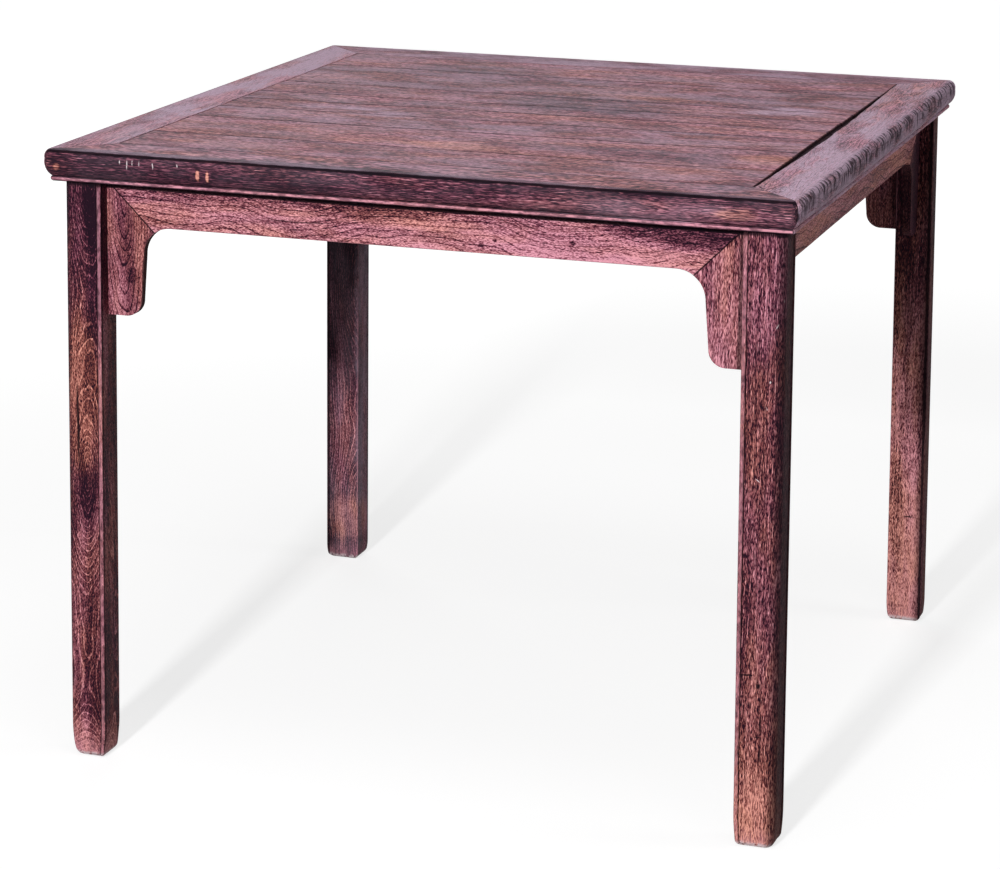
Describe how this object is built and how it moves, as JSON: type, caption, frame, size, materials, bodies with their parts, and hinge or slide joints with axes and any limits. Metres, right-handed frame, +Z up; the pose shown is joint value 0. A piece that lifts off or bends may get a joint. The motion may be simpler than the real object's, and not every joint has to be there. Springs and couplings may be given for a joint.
{
  "type": "square dining table",
  "caption": "Square hardwood dining table: mitred top frame round a floating board panel, splayed corner legs, set-back aprons with mitred spandrels.",
  "frame": {"origin": "on the floor, under the middle of the square top", "axes": "+Z up; +X to the right along the front side; +Y to the back, along the panel's battens"},
  "size_m": [1, 1, 0.836],
  "materials": {
    "rosewood_frame": "worn satin, dark purplish rosewood",
    "rosewood_panel": "worn, greyed and dusty rosewood",
    "rosewood_leg": "worn satin, strongly figured rosewood",
    "rosewood_apron": "worn satin, paler reddish rosewood",
    "batten_wood": "unpolished brown wood",
    "peg_wood": "unpolished wood"
  },
  "bodies": {
    "root": {"front_stile": "rosewood_frame", "back_stile": "rosewood_frame", "left_end_rail": "rosewood_frame", "right_end_rail": "rosewood_frame", "panel_board_1": "rosewood_panel", "panel_board_2": "rosewood_panel", "panel_board_3": "rosewood_panel", "panel_board_4": "rosewood_panel", "panel_board_5": "rosewood_panel", "panel_board_6": "rosewood_panel", "panel_board_7": "rosewood_panel", "panel_board_8": "rosewood_panel", "batten_left": "batten_wood", "batten_middle": "batten_wood", "batten_right": "batten_wood", "leg_front_left": "rosewood_leg", "leg_front_right": "rosewood_leg", "leg_back_left": "rosewood_leg", "leg_back_right": "rosewood_leg", "apron_front": "rosewood_apron", "spandrel_front_left": "rosewood_apron", "spandrel_front_right": "rosewood_apron", "apron_right": "rosewood_apron", "spandrel_right_front": "rosewood_apron", "spandrel_right_back": "rosewood_apron", "apron_back": "rosewood_apron", "spandrel_back_right": "rosewood_apron", "spandrel_back_left": "rosewood_apron", "apron_left": "rosewood_apron", "spandrel_left_back": "rosewood_apron", "spandrel_left_front": "rosewood_apron", "mitre_keys": "peg_wood", "corner_pegs": "peg_wood"}
  },
  "joints": []
}
